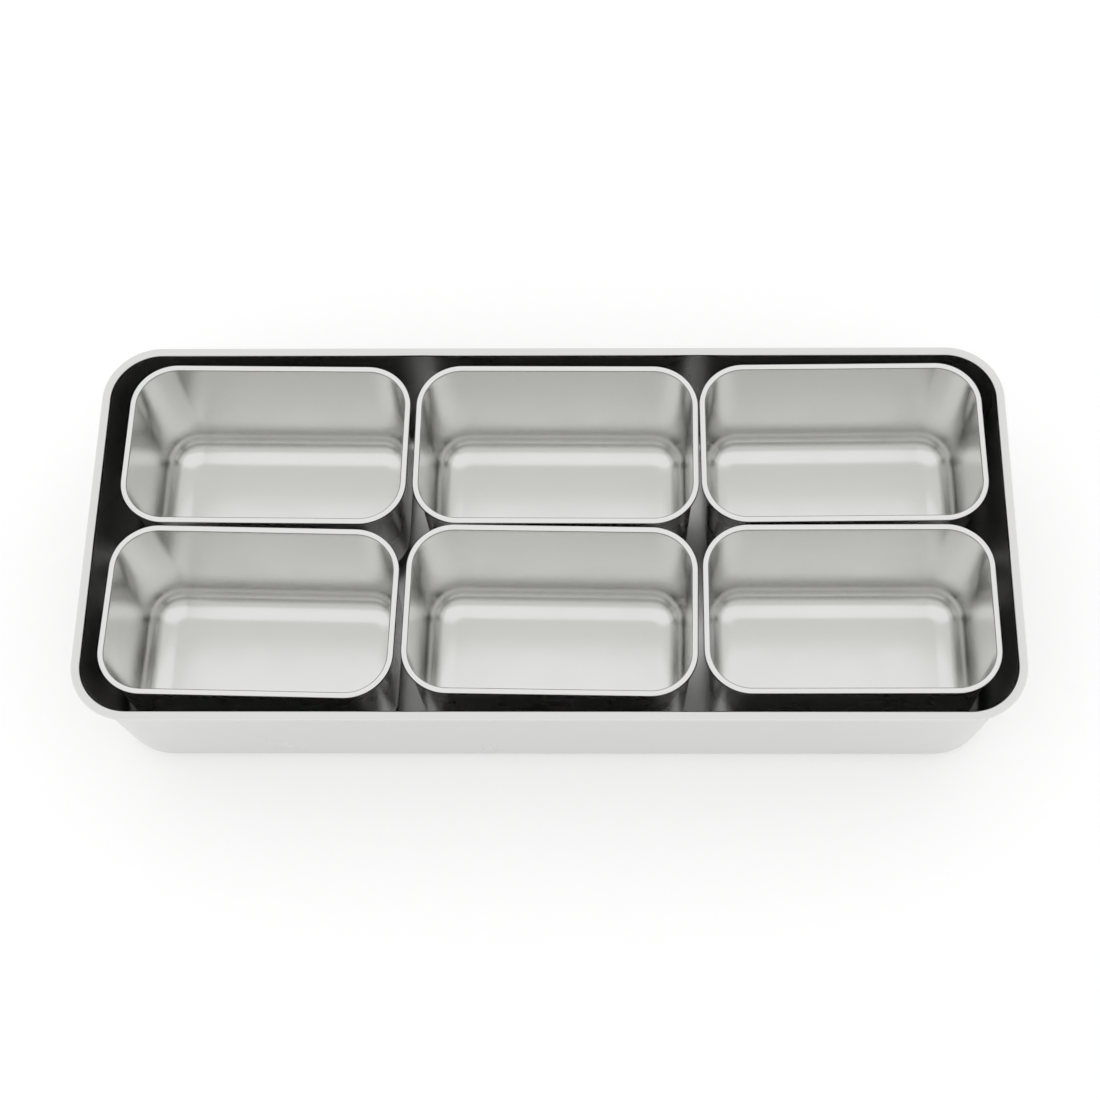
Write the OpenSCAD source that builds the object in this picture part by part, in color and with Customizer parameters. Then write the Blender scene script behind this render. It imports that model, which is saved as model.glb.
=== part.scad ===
// Bar garnish tray: a pressed outer tray that holds six loose pans in two rows.
// The origin is the middle of the tray's underside, on the surface it stands on. X runs along the
// tray, Y towards its back and Z up.

/* [Outer tray] */
// Width over the rolled rim
tray_w = 390; // [340:1:440]
// Depth over the rolled rim
tray_d = 171.5; // [150:0.5:200]
// Height from the underside to the top of the rim
tray_h = 71; // [50:0.5:95]
// Corner radius of the rim, seen from above
tray_corner_r = 24.5; // [20:0.5:34]
// Outside radius of the bend between floor and walls
tray_bend_r = 9; // [4:0.5:12]
// Lean of the walls away from upright, in degrees
tray_lean = 3; // [1:0.25:5]
// Outside radius of the rolled rim
tray_bead_r = 2; // [1.6:0.1:3]
// Thickness of the sheet
tray_sheet = 0.8; // [0.5:0.05:1.1]

/* [Pans] */
// How far the pans' rims stay below the tray's rim
rim_drop = 1.4; // [0.5:0.1:6]
// Corner radius of a pan's rim, seen from above
pan_corner_r = 19.6; // [14:0.2:26]
// Outside radius of the bend between a pan's floor and walls
pan_bend_r = 12.6; // [5:0.2:14]
// Lean of a pan's walls away from upright, in degrees
pan_lean = 1.75; // [1:0.25:4]
// Outside radius of a pan's rolled rim
pan_bead_r = 1.4; // [1.2:0.1:2]
// Thickness of a pan's sheet
pan_sheet = 0.6; // [0.4:0.05:0.8]

/* [Room for the pans] */
// Room between the outer pans' rims and the tray's end walls
end_room = 6.2; // [3:0.1:10]
// Room between the pans' rims and the tray's long walls
side_room = 5.5; // [3:0.1:10]
// Room between two neighbouring pans of a row
pan_room = 2; // [0.8:0.1:4]
// Room between the two rows
row_room = 1.3; // [0.8:0.1:4]
// How far the pans have slid towards the tray's back
slid_back = 1.5; // [0:0.1:2]
// How far the pans have slid towards the tray's right end
slid_right = 1; // [0:0.1:2]

/* [Rolled rims] */
// Gap between the end of a rim's curl and the wall below it
curl_gap = 0.2; // [0.1:0.05:0.4]

/* [Hidden] */
$fn = 96;

// The tray's clear width and depth between its walls, just under the rim
clear_w = tray_w - 4 * tray_bead_r;
clear_d = tray_d - 4 * tray_bead_r;

// Each pan takes a third of the clear width and half of the clear depth, less the room round it
pan_w = (clear_w - 2 * end_room - 2 * pan_room) / 3;
pan_d = (clear_d - 2 * side_room - row_room) / 2;
pan_h = tray_h - rim_drop - tray_sheet;

// How each pan lies in its own place. The first two values are shares of the room between pans, to
// the right and to the back, and the third is a share of the turn that this room allows.
FREE_TURN = atan(row_room / pan_w);
BACK_LEFT = [0.35, -0.15, -1];
BACK_MIDDLE = [0.5, -0.3, -0.4];
BACK_RIGHT = [-0.2, 0.4, 0.8];
FRONT_LEFT = [-0.45, -0.45, -2.1];
FRONT_MIDDLE = [-0.15, 0, -1.45];
FRONT_RIGHT = [-0.2, 0.45, 0.2];

// Steps of the section's round stretches
BEND_STEPS = 12;
CURL_STEPS = 28;

function arc(middle, r, from, to, steps) = [
    for (i = [0 : steps])
        let (a = from + (to - from) * i / steps)
        middle + r * [cos(a), sin(a)]
];

// The section of a pressed sheet, from the flat floor out through the bend, up the leaning wall and
// round the rolled rim, whose end stays curl_gap away from the wall. x is measured from the axis of the
// plan's corner, and rim_x reaches the outside of the rim.
module sheet_section(rim_x, h, sheet, bend_r, lean, bead_r) {
    bead = [rim_x - bead_r, h - bead_r];
    // From the rim's middle to the bend's middle: across the wall, then down along it
    across = bead_r - sheet + bend_r;
    down = (bead.y - bend_r + sin(lean) * across) / cos(lean);
    bend = bead + across * [-cos(lean), sin(lean)] - down * [sin(lean), cos(lean)];
    curl_end = lean - 180 + acos((bead_r - sheet - curl_gap) / bead_r);

    polygon(concat(
        [[0, 0]],
        arc(bend, bend_r, -90, -lean, BEND_STEPS),
        arc(bead, bead_r - sheet, 180 - lean, curl_end, CURL_STEPS),
        arc(bead, bead_r, curl_end, 180 - lean, CURL_STEPS),
        arc(bend, bend_r - sheet, -lean, -90, BEND_STEPS),
        [[0, sheet]]
    ));
}

// A pressed pan or tray with its underside at z = 0 and its middle on the z axis. The same section is
// swept along the four straight walls and round the four corners.
module pressed_shell(w, d, h, corner_r, sheet, bend_r, lean, bead_r) {
    straight = [w - 2 * corner_r, d - 2 * corner_r];
    // The bend never reaches the axis of the plan's corner
    foot_r = corner_r - 2 * bead_r + sheet - (h - bead_r) * tan(lean);
    bend = min(bend_r, foot_r - sheet);

    translate([0, 0, sheet / 2]) cube([straight.x, straight.y, sheet], center = true);
    for (side = [0 : 3]) {
        run = side % 2 == 0 ? straight.y : straight.x;
        reach = side % 2 == 0 ? straight.x : straight.y;
        rotate(90 * side) translate([reach / 2, 0, 0]) {
            translate([0, run / 2, 0]) rotate([90, 0, 0]) linear_extrude(run)
                sheet_section(corner_r, h, sheet, bend, lean, bead_r);
            translate([0, run / 2, 0]) rotate_extrude(angle = 90)
                sheet_section(corner_r, h, sheet, bend, lean, bead_r);
        }
    }
}

// One small pan, standing on the tray's floor. column is -1, 0 or 1 and row is -1 at the front or 1 at
// the back.
module pan(column, row, lie) {
    place = [
        column * (pan_w + pan_room) + slid_right + lie.x * pan_room,
        row * (pan_d + row_room) / 2 + slid_back + lie.y * row_room,
        tray_sheet
    ];
    color([0.82, 0.82, 0.81])
        translate(place) rotate(lie.z * FREE_TURN)
            pressed_shell(pan_w, pan_d, pan_h, pan_corner_r, pan_sheet, pan_bend_r, pan_lean, pan_bead_r);
}

module outer_tray() {
    color([0.72, 0.73, 0.73])
        pressed_shell(tray_w, tray_d, tray_h, tray_corner_r, tray_sheet, tray_bend_r, tray_lean, tray_bead_r);
}

module pan_back_left() { pan(-1, 1, BACK_LEFT); }

module pan_back_middle() { pan(0, 1, BACK_MIDDLE); }

module pan_back_right() { pan(1, 1, BACK_RIGHT); }

module pan_front_left() { pan(-1, -1, FRONT_LEFT); }

module pan_front_middle() { pan(0, -1, FRONT_MIDDLE); }

module pan_front_right() { pan(1, -1, FRONT_RIGHT); }

outer_tray();
pan_back_left();
pan_back_middle();
pan_back_right();
pan_front_left();
pan_front_middle();
pan_front_right();
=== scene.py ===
"""The looks of a bar garnish tray: a pressed stainless steel tray with six loose pressed pans.

Every shell is swept as one sheet, from its floor through the bend and up the wall to the rolled rim.
"""

import logging
import math
from dataclasses import dataclass, field
from enum import Enum

import bmesh
import bpy
from mathutils import Matrix, Vector, noise


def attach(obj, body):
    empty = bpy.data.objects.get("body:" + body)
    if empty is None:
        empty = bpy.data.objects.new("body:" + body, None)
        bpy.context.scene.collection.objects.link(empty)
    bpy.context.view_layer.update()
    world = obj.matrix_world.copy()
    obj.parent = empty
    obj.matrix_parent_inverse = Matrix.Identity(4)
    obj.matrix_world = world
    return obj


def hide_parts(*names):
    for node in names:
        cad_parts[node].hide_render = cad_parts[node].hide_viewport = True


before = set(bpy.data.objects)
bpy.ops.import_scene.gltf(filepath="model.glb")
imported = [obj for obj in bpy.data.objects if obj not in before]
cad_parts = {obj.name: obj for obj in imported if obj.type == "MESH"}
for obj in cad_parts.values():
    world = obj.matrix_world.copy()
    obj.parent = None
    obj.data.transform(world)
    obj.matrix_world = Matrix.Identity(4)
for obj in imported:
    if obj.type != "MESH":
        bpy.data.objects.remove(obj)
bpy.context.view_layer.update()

MM = 0.001
log = logging.getLogger("garnish_tray")


def linear_colour(hex_code: str) -> tuple[float, float, float, float]:
    """Turn an sRGB hex colour into the linear colour that a shader takes.

    Args:
        hex_code: Six hex digits after a hash sign.

    Returns:
        Red, green and blue in linear light, and an alpha of one.
    """
    channels = []
    for start in (1, 3, 5):
        value = int(hex_code[start : start + 2], 16) / 255
        channels.append(value / 12.92 if value <= 0.04045 else ((value + 0.055) / 1.055) ** 2.4)
    return (*channels, 1.0)


def add_node(
    tree: bpy.types.NodeTree,
    kind: str,
    settings: dict[str, object] | None = None,
    inputs: dict[str | int, object] | None = None,
) -> bpy.types.Node:
    """Add one shader node with its settings, its plain values and its links.

    Args:
        tree: The node tree that gets the node.
        kind: The node's type name in Blender.
        settings: Values of the node's own properties.
        inputs: What each input socket takes: a plain value, or the output socket that feeds it.

    Returns:
        The new node.
    """
    node = tree.nodes.new(kind)
    for name, value in (settings or {}).items():
        setattr(node, name, value)
    for name, value in (inputs or {}).items():
        if isinstance(value, bpy.types.NodeSocket):
            tree.links.new(value, node.inputs[name])
        else:
            node.inputs[name].default_value = value
    return node


class Zone(Enum):
    """The parts of a pressed shell's surface, which differ in finish."""

    INSIDE = 0
    RIM = 1
    OUTSIDE = 2


class Grain(Enum):
    """How a steel surface was worked, which says the way its fine lines run."""

    ALONG_WALL = (1.0, 1.0, 14.0)
    UP_WALL = (1.0, 1.0, 0.06)
    NONE = (1.0, 1.0, 1.0)


@dataclass(frozen=True)
class SteelFinish:
    """Stainless steel sheet with one surface finish.

    Attributes:
        name: The material's name.
        colour: The metal's colour at normal incidence.
        roughness: Mean roughness of the surface.
        roughness_spread: How far the roughness varies over the surface.
        anisotropy: How much wider highlights are across the grain.
        grain: How the fine lines run.
        grain_mm: Spacing of the fine lines.
        grain_depth_mm: Height of the fine lines.
        cloud_mm: Size of the soft cloudy patches that handling and drawing leave.
    """

    name: str
    colour: str
    roughness: float
    roughness_spread: float
    anisotropy: float
    grain: Grain
    grain_mm: float
    grain_depth_mm: float
    cloud_mm: float

    def material(self) -> bpy.types.Material:
        """Make the finish's material.

        Returns:
            A material with the metal's colour, its cloudy roughness and its fine grain as bump.
        """
        steel = bpy.data.materials.new(self.name)
        steel.use_nodes = True
        tree = steel.node_tree
        tree.nodes.clear()
        place = add_node(tree, "ShaderNodeTexCoord")
        cloud = add_node(
            tree,
            "ShaderNodeTexNoise",
            inputs={"Vector": place.outputs["Object"], "Scale": 1 / (self.cloud_mm * MM), "Detail": 3.0},
        )
        rough = add_node(
            tree,
            "ShaderNodeMapRange",
            inputs={
                "Value": cloud.outputs["Fac"],
                "From Min": 0.3,
                "From Max": 0.7,
                "To Min": self.roughness - self.roughness_spread,
                "To Max": self.roughness + self.roughness_spread,
            },
        )
        stretch = add_node(
            tree,
            "ShaderNodeMapping",
            inputs={"Vector": place.outputs["Object"], "Scale": self.grain.value},
        )
        lines = add_node(
            tree,
            "ShaderNodeTexNoise",
            inputs={"Vector": stretch.outputs["Vector"], "Scale": 1 / (self.grain_mm * MM), "Detail": 2.0},
        )
        bump = add_node(
            tree,
            "ShaderNodeBump",
            inputs={
                "Height": lines.outputs["Fac"],
                "Strength": 1.0,
                "Distance": self.grain_depth_mm * MM,
            },
        )
        surface = add_node(
            tree,
            "ShaderNodeBsdfPrincipled",
            inputs={
                "Base Color": linear_colour(self.colour),
                "Metallic": 1.0,
                "Roughness": rough.outputs["Result"],
                "Anisotropic": self.anisotropy,
                "Normal": bump.outputs["Normal"],
            },
        )
        add_node(tree, "ShaderNodeOutputMaterial", inputs={"Surface": surface.outputs["BSDF"]})
        return steel


@dataclass(frozen=True)
class SectionPoint:
    """One point of a pressed sheet's section, in millimetres.

    Attributes:
        reach: Distance from the axis of the plan's corner, outwards.
        height: Height above the shell's underside.
        zone: The part of the surface that starts here.
    """

    reach: float
    height: float
    zone: Zone


@dataclass
class PressedShell:
    """A tray or pan pressed from one sheet, with its rim rolled outwards. Sizes are in millimetres.

    Attributes:
        width: Width over the rolled rim.
        depth: Depth over the rolled rim.
        height: Height from the underside to the top of the rim.
        corner_r: Corner radius of the rim, seen from above.
        bend_r: Outside radius of the bend between floor and walls.
        lean: Lean of the walls away from upright, in degrees.
        bead_r: Outside radius of the rolled rim.
        sheet: Thickness of the sheet.
        curl_gap: Gap between the end of the rim's curl and the wall below it.
        foot_round: How much rounder the corners are at the foot than the plain section makes them.
    """

    width: float
    depth: float
    height: float
    corner_r: float
    bend_r: float
    lean: float
    bead_r: float
    sheet: float
    curl_gap: float = 0.2
    foot_round: float = 0.0
    bend_steps: int = 24
    wall_steps: int = 24
    bead_steps: int = 40
    corner_steps: int = 24
    run_step: float = 4.0
    floor_rings: int = 16

    def section(self) -> list[SectionPoint]:
        """Work out the sheet's section.

        Returns:
            Points from the floor's upper side out, up and round the rim, and back under the floor.
        """
        lean = math.radians(self.lean)
        bead = Vector((self.corner_r - self.bead_r, self.height - self.bead_r))
        across = self.bead_r - self.sheet + self.bend_r
        down = (bead.y - self.bend_r + math.sin(lean) * across) / math.cos(lean)
        bend = bead + across * Vector((-math.cos(lean), math.sin(lean)))
        bend -= down * Vector((math.sin(lean), math.cos(lean)))
        spare = self.bead_r - self.sheet - self.curl_gap
        curl_end = lean - math.pi + math.acos(spare / self.bead_r)

        def arc(
            middle: Vector, radius: float, start: float, end: float, steps: int, zone: Zone
        ) -> list[SectionPoint]:
            """Points of one round stretch of the section."""
            points = []
            for step in range(steps + 1):
                angle = start + (end - start) * step / steps
                reach = middle.x + radius * math.cos(angle)
                points.append(SectionPoint(reach, middle.y + radius * math.sin(angle), zone))
            return points

        def wall(low: SectionPoint, high: SectionPoint, zone: Zone) -> list[SectionPoint]:
            """Points between the ends of a straight wall."""
            points = []
            for step in range(1, self.wall_steps):
                share = step / self.wall_steps
                reach = low.reach + (high.reach - low.reach) * share
                points.append(SectionPoint(reach, low.height + (high.height - low.height) * share, zone))
            return points

        quarter = math.pi / 2
        inner_bend = arc(bend, self.bend_r - self.sheet, -quarter, -lean, self.bend_steps, Zone.INSIDE)
        top = arc(bead, self.bead_r, math.pi - lean, curl_end, self.bead_steps, Zone.RIM)
        under = arc(bead, self.bead_r - self.sheet, curl_end, math.pi - lean, self.bead_steps, Zone.OUTSIDE)
        outer_bend = arc(bend, self.bend_r, -lean, -quarter, self.bend_steps, Zone.OUTSIDE)
        return (
            inner_bend
            + wall(inner_bend[-1], top[0], Zone.INSIDE)
            + top
            + under
            + wall(under[-1], outer_bend[0], Zone.OUTSIDE)
            + outer_bend
        )

    def ring(self, reach: float, height: float) -> list[Vector]:
        """Work out one ring of the shell: the plan's round-cornered outline at one point of the section.

        Args:
            reach: Distance of the ring from the axis of the plan's corner.
            height: Height above the underside.

        Returns:
            The ring's points, counter-clockwise, in metres.
        """
        rounder = self.foot_round * (1 - height / self.height)
        radius = reach + rounder
        half_w = self.width / 2 - self.corner_r + reach
        half_d = self.depth / 2 - self.corner_r + reach
        runs_w = max(2, round((self.width - 2 * self.corner_r) / self.run_step))
        runs_d = max(2, round((self.depth - 2 * self.corner_r) / self.run_step))
        points = []
        for quarter, (side_x, side_y) in enumerate(((1, 1), (-1, 1), (-1, -1), (1, -1))):
            middle = Vector((side_x * (half_w - radius), side_y * (half_d - radius)))
            for step in range(self.corner_steps + 1):
                angle = math.pi / 2 * (quarter + step / self.corner_steps)
                points.append(middle + radius * Vector((math.cos(angle), math.sin(angle))))
            runs = runs_w if quarter % 2 == 0 else runs_d
            length = 2 * ((half_w if quarter % 2 == 0 else half_d) - radius)
            along = Vector((-math.sin(angle - math.pi / 2), math.cos(angle - math.pi / 2)))
            along = Vector((-math.sin(angle), math.cos(angle)))
            start = points[-1]
            for step in range(1, runs):
                points.append(start + along * length * step / runs)
        return [Vector((p.x, p.y, height)) * MM for p in points]

    def mesh(self, name: str) -> bpy.types.Mesh:
        """Build the shell's mesh, standing on z = 0 with its middle on the z axis.

        Args:
            name: The mesh's name.

        Returns:
            A closed mesh, smooth all over.
        """
        build = bmesh.new()
        section = self.section()
        rings = []
        for point in section:
            rings.append([build.verts.new(p) for p in self.ring(point.reach, point.height)])
        for index, point in enumerate(section[:-1]):
            self.join(build, rings[index], rings[index + 1], point.zone)
        self.fill(build, rings[0], Zone.INSIDE, upwards=True)
        self.fill(build, rings[-1], Zone.OUTSIDE, upwards=False)
        bmesh.ops.recalc_face_normals(build, faces=build.faces)
        mesh = bpy.data.meshes.new(name)
        build.to_mesh(mesh)
        build.free()
        mesh.shade_smooth()
        return mesh

    def join(self, build: bmesh.types.BMesh, low: list, high: list, zone: Zone) -> None:
        """Join two rings of equal count with a band of faces.

        Args:
            build: The mesh under construction.
            low: The first ring's vertices.
            high: The second ring's vertices.
            zone: The part of the surface that the band belongs to.
        """
        count = len(low)
        for index in range(count):
            after = (index + 1) % count
            face = build.faces.new((low[index], low[after], high[after], high[index]))
            face.material_index = zone.value

    def fill(self, build: bmesh.types.BMesh, edge: list, zone: Zone, upwards: bool) -> None:
        """Fill a ring with smaller rings down to its middle.

        Args:
            build: The mesh under construction.
            edge: The ring's vertices.
            zone: The part of the surface that the floor belongs to.
            upwards: Whether this side of the floor faces up; not used.
        """
        outer = edge
        for ring in range(1, self.floor_rings):
            share = 1 - ring / self.floor_rings
            inner = [build.verts.new((v.co.x * share, v.co.y * share, v.co.z)) for v in edge]
            self.join(build, inner, outer, zone)
            outer = inner
        middle = build.verts.new((0, 0, edge[0].co.z))
        count = len(outer)
        for index in range(count):
            face = build.faces.new((outer[index], outer[(index + 1) % count], middle))
            face.material_index = zone.value


@dataclass
class GarnishTray:
    """The outer tray and the six pans that stand in it."""

    tray_finish: dict[Zone, SteelFinish] = field(
        default_factory=lambda: {
            # Brushed sheet: fine lines along the walls, which break up the dark gap round the pans
            Zone.INSIDE: SteelFinish(
                "brushed stainless steel, tray inside", "#dadad8", 0.3, 0.04, 0.3, Grain.ALONG_WALL, 6, 0.012, 40
            ),
            # Buffed edge: near mirror, with a sharp bright line along the roll
            Zone.RIM: SteelFinish(
                "buffed stainless steel, tray rim", "#dcdcda", 0.12, 0.02, 0.0, Grain.NONE, 12, 0.004, 40
            ),
            # Bright annealed sheet outside, which takes the even grey of the pale floor
            Zone.OUTSIDE: SteelFinish(
                "brushed stainless steel, tray outside", "#dadad8", 0.3, 0.03, 0.3, Grain.ALONG_WALL, 6, 0.006, 40
            ),
        }
    )
    pan_finish: dict[Zone, SteelFinish] = field(
        default_factory=lambda: {
            # Satin drawn steel: soft cloudy reflections with faint lines up the walls
            Zone.INSIDE: SteelFinish(
                "satin stainless steel, pan inside", "#e2e2e0", 0.22, 0.03, 0.0, Grain.UP_WALL, 3, 0.004, 25
            ),
            # Buffed edge: near mirror, with a sharp bright line along the roll
            Zone.RIM: SteelFinish(
                "buffed stainless steel, pan rim", "#e2e2e0", 0.12, 0.02, 0.0, Grain.NONE, 12, 0.004, 25
            ),
            # Satin drawn steel with fine lines along the walls
            Zone.OUTSIDE: SteelFinish(
                "satin stainless steel, pan outside", "#dadad8", 0.28, 0.03, 0.0, Grain.ALONG_WALL, 6, 0.006, 25
            ),
        }
    )

    def shell_from(self, node: str) -> None:
        """Placeholder."""

    def build(self) -> None:
        """Make every piece, put it at its given place and let it ride on its body."""
        tray_shell = PressedShell(390, 171.5, 71, 24.5, 9, 3, 2, 0.8, foot_round=8)
        tray_mats = {z: f.material() for z, f in self.tray_finish.items()}
        pan_mats = {z: f.material() for z, f in self.pan_finish.items()}
        self.place(tray_shell, "outer_tray", "tray", Matrix.Identity(4), tray_mats, "tray_steel")
        pan_shell = PressedShell(121.8667, 75.6, 68.8, 19.6, 12.6, 1.75, 1.4, 0.6)
        free_turn = math.atan(1.3 / 121.8667)
        lies = {
            "pan_back_left": (-1, 1, 0.35, -0.15, -1),
            "pan_back_middle": (0, 1, 0.5, -0.3, -0.4),
            "pan_back_right": (1, 1, -0.2, 0.4, 0.8),
            "pan_front_left": (-1, -1, -0.45, -0.45, -2.1),
            "pan_front_middle": (0, -1, -0.15, 0, -1.45),
            "pan_front_right": (1, -1, -0.2, 0.45, 0.2),
        }
        for name, (column, row, x, y, turn) in lies.items():
            place = Vector((column * 123.8667 + 1 + x * 2, row * 38.45 + 1.5 + y * 1.3, 0.8)) * MM
            matrix = Matrix.Translation(place) @ Matrix.Rotation(turn * free_turn, 4, "Z")
            self.place(pan_shell, name, name, matrix, pan_mats, "pan_steel")

    def place(self, shell, node, body, matrix, materials, slot) -> None:
        mesh = shell.mesh(node + "_sheet")
        for zone in Zone:
            mesh.materials.append(materials[zone])
        piece = bpy.data.objects.new(node + "_sheet", mesh)
        bpy.context.scene.collection.objects.link(piece)
        mesh.transform(matrix)
        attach(piece, body)
        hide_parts(node)
        log.info("%s: %d faces", piece.name, len(mesh.polygons))


@dataclass
class Studio:
    """The pale floor, the soft light and the camera."""

    floor_half: float = 4.0
    lens_mm: float = 65.75
    shift_x: float = -0.0436
    camera_mm: tuple[float, float, float] = (31.1, -351.4, 834.95)
    elevation: float = 66.0
    heading: float = 1.85
    roll: float = -1.72

    def build(self) -> None:
        """Make the floor, the light and the camera."""
        self.add_camera()
        self.add_floor()
        self.add_world()

    def add_camera(self) -> None:
        """Put the camera where the photograph was taken from."""
        data = bpy.data.cameras.new("camera")
        data.lens = self.lens_mm
        data.sensor_width = 36.0
        data.shift_x = self.shift_x
        data.clip_end = 50
        camera = bpy.data.objects.new("camera", data)
        turn = Matrix.Rotation(math.radians(self.heading), 4, "Z")
        tilt = Matrix.Rotation(math.radians(90 - self.elevation), 4, "X")
        roll = Matrix.Rotation(math.radians(self.roll), 4, "Z")
        camera.matrix_world = Matrix.Translation(Vector(self.camera_mm) * MM) @ turn @ tilt @ roll
        bpy.context.scene.collection.objects.link(camera)
        bpy.context.scene.camera = camera

    def add_floor(self) -> None:
        """Lay a pale floor that shows white and keeps the shadow."""
        mesh = bpy.data.meshes.new("floor")
        h = self.floor_half
        mesh.from_pydata([(-h, -h, 0), (h, -h, 0), (h, h, 0), (-h, h, 0)], [], [(0, 1, 2, 3)])
        floor = bpy.data.objects.new("floor", mesh)
        bpy.context.scene.collection.objects.link(floor)
        material = bpy.data.materials.new("matt white paint")
        material.use_nodes = True
        tree = material.node_tree
        tree.nodes.clear()
        matt = add_node(tree, "ShaderNodeBsdfDiffuse", inputs={"Color": (0.8, 0.8, 0.8, 1)})
        glow = add_node(tree, "ShaderNodeEmission", inputs={"Color": (1, 1, 1, 1), "Strength": 0.25})
        path = add_node(tree, "ShaderNodeLightPath")
        seen = add_node(
            tree,
            "ShaderNodeMath",
            {"operation": "MAXIMUM"},
            {0: path.outputs["Is Camera Ray"], 1: path.outputs["Is Glossy Ray"]},
        )
        both = add_node(tree, "ShaderNodeAddShader", inputs={0: matt.outputs[0], 1: glow.outputs[0]})
        mix = add_node(
            tree, "ShaderNodeMixShader", inputs={0: seen.outputs[0], 1: matt.outputs[0], 2: both.outputs[0]}
        )
        add_node(tree, "ShaderNodeOutputMaterial", inputs={"Surface": mix.outputs[0]})
        mesh.materials.append(material)

    def add_world(self) -> None:
        """Light the scene evenly from all round."""
        world = bpy.data.worlds.new("studio")
        bpy.context.scene.world = world
        world.use_nodes = True
        tree = world.node_tree
        tree.nodes.clear()
        glow = add_node(tree, "ShaderNodeBackground", inputs={"Color": (1, 1, 1, 1), "Strength": 1.0})
        add_node(tree, "ShaderNodeOutputWorld", inputs={"Surface": glow.outputs[0]})


def main() -> None:
    """Build the studio and the garnish tray."""
    logging.basicConfig(level=logging.INFO, format="%(message)s")
    bpy.context.scene.view_settings.view_transform = "Standard"
    Studio().build()
    GarnishTray().build()


if __name__ == "__main__":
    main()
